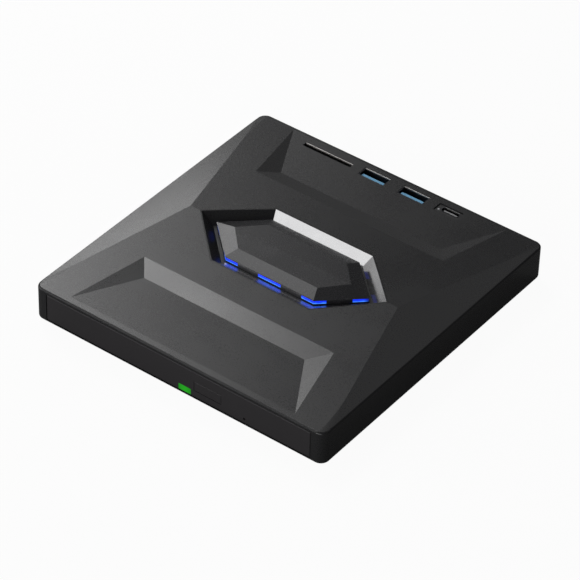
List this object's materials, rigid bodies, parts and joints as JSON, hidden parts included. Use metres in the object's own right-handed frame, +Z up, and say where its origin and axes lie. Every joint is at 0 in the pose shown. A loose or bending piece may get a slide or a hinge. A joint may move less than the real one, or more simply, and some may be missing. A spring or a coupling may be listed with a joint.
{
  "type": "external disc drive",
  "caption": "Square low housing with a faceted roof and lit six-sided emblem, a slim disc tray in front and card and USB sockets along the back of its roof.",
  "frame": {"origin": "on the table under the middle of the housing, tray closed", "axes": "+X to the right seen from the front, +Y from the tray's front to the back, +Z up"},
  "size_m": [0.146, 0.152, 0.0219],
  "materials": {
    "housing_plastic": "satin dark grey moulding",
    "bezel_plastic": "satin black moulding",
    "bright_trim": "silver lacquered surround",
    "emblem_plastic": "satin black cap and light mask",
    "blue_glow": "blue lit light guide",
    "green_glow": "green lit window",
    "foot_rubber": "black rubber",
    "screw_steel": "blackened steel screws",
    "circuit_board": "green solder mask",
    "black_chip": "black moulded packages",
    "port_shell": "plated steel shell",
    "port_blue": "blue socket tongue",
    "port_black": "black socket moulding",
    "light_pipe": "clear light pipe",
    "sheet_steel": "zinc plated sheet steel",
    "flex_film": "amber film cable",
    "rail_plastic": "natural slippery plastic",
    "tray_plastic": "black moulded tray",
    "motor_steel": "turned and plated steel",
    "coil_copper": "enamelled copper winding",
    "die_cast": "die cast sled",
    "lens_glass": "coated lens"
  },
  "bodies": {
    "housing": {"board_leds": "blue_glow", "board_screws": "screw_steel", "bottom_cover": "housing_plastic", "card_socket": "port_black", "case_screws": "screw_steel", "drive_base": "sheet_steel", "drive_board": "circuit_board", "drive_chips": "black_chip", "drive_connector": "black_chip", "drive_lid": "sheet_steel", "emblem_cap": "emblem_plastic", "emblem_surround": "bright_trim", "flex_cable": "flex_film", "hub_board": "circuit_board", "hub_chips": "black_chip", "hub_plug": "black_chip", "latch_post": "sheet_steel", "led_board": "circuit_board", "light_guide": "blue_glow", "light_mask": "emblem_plastic", "port_light": "light_pipe", "rail_guide_left": "sheet_steel", "rail_guide_right": "sheet_steel", "rubber_feet": "foot_rubber", "top_cover": "housing_plastic", "usb_c_insert": "port_black", "usb_c_shell": "port_shell", "usb_c_tongue": "port_black", "usb_shell_left": "port_shell", "usb_shell_right": "port_shell", "usb_tongue_left": "port_blue", "usb_tongue_right": "port_blue"},
    "rail_left": {"rail_left": "rail_plastic"},
    "rail_right": {"rail_right": "rail_plastic"},
    "tray": {"tray": "tray_plastic", "tray_bezel": "bezel_plastic", "activity_light": "green_glow", "tray_shield": "sheet_steel", "traverse_frame": "sheet_steel", "spindle_motor": "motor_steel", "guide_rods": "motor_steel", "sled_motor": "motor_steel", "tray_board": "circuit_board", "eject_switch": "black_chip", "latch_yoke": "motor_steel", "latch_coil": "coil_copper", "ejector_pin": "motor_steel", "ejector_spring": "motor_steel"},
    "eject_button": {"eject_button": "bezel_plastic"},
    "spindle": {"spindle_rotor": "motor_steel", "turntable": "tray_plastic", "turntable_pad": "foot_rubber", "clamp_balls": "motor_steel"},
    "pickup": {"pickup_body": "die_cast", "laser_module": "black_chip", "lens_holder": "tray_plastic", "objective_lens": "lens_glass", "lens_magnets": "motor_steel"},
    "lead_screw": {"lead_screw": "motor_steel"},
    "latch_lever": {"latch_lever": "tray_plastic"}
  },
  "joints": [
    {"name": "tray_slide", "type": "slide", "parent": "housing", "child": "tray", "axis": [0, -1, 0], "range_m": [0, 0.127]},
    {"name": "rail_left_slide", "type": "slide", "parent": "housing", "child": "rail_left", "axis": [0, -1, 0], "range_m": [0, 0.0635]},
    {"name": "rail_right_slide", "type": "slide", "parent": "housing", "child": "rail_right", "axis": [0, -1, 0], "range_m": [0, 0.0635]},
    {"name": "eject_button_press", "type": "slide", "parent": "tray", "child": "eject_button", "axis": [0, 1, 0], "range_m": [0, 0.0006], "stiffness_N_per_m": 500, "springref_m": -0.0006},
    {"name": "spindle_spin", "type": "hinge", "parent": "tray", "child": "spindle", "pos_m": [0, -0.0105, 0.006], "axis": [0, 0, 1], "continuous": true},
    {"name": "pickup_slide", "type": "slide", "parent": "tray", "child": "pickup", "axis": [-0.7071, -0.7071, 0], "range_m": [0, 0.034]},
    {"name": "lead_screw_turn", "type": "hinge", "parent": "tray", "child": "lead_screw", "pos_m": [-0.01485, 0.00435, 0.0061], "axis": [-0.7071, -0.7071, 0], "range_deg": [0, 4081]},
    {"name": "latch_swing", "type": "hinge", "parent": "tray", "child": "latch_lever", "pos_m": [0.048, 0.034, 0.0049], "axis": [0, 0, 1], "range_deg": [-16, 0]}
  ],
  "couplings": [
    {"joint": "rail_left_slide", "follows": "tray_slide", "ratio": 0.5},
    {"joint": "rail_right_slide", "follows": "tray_slide", "ratio": 0.5},
    {"joint": "lead_screw_turn", "follows": "pickup_slide", "rad_per_m": 2094.4}
  ]
}
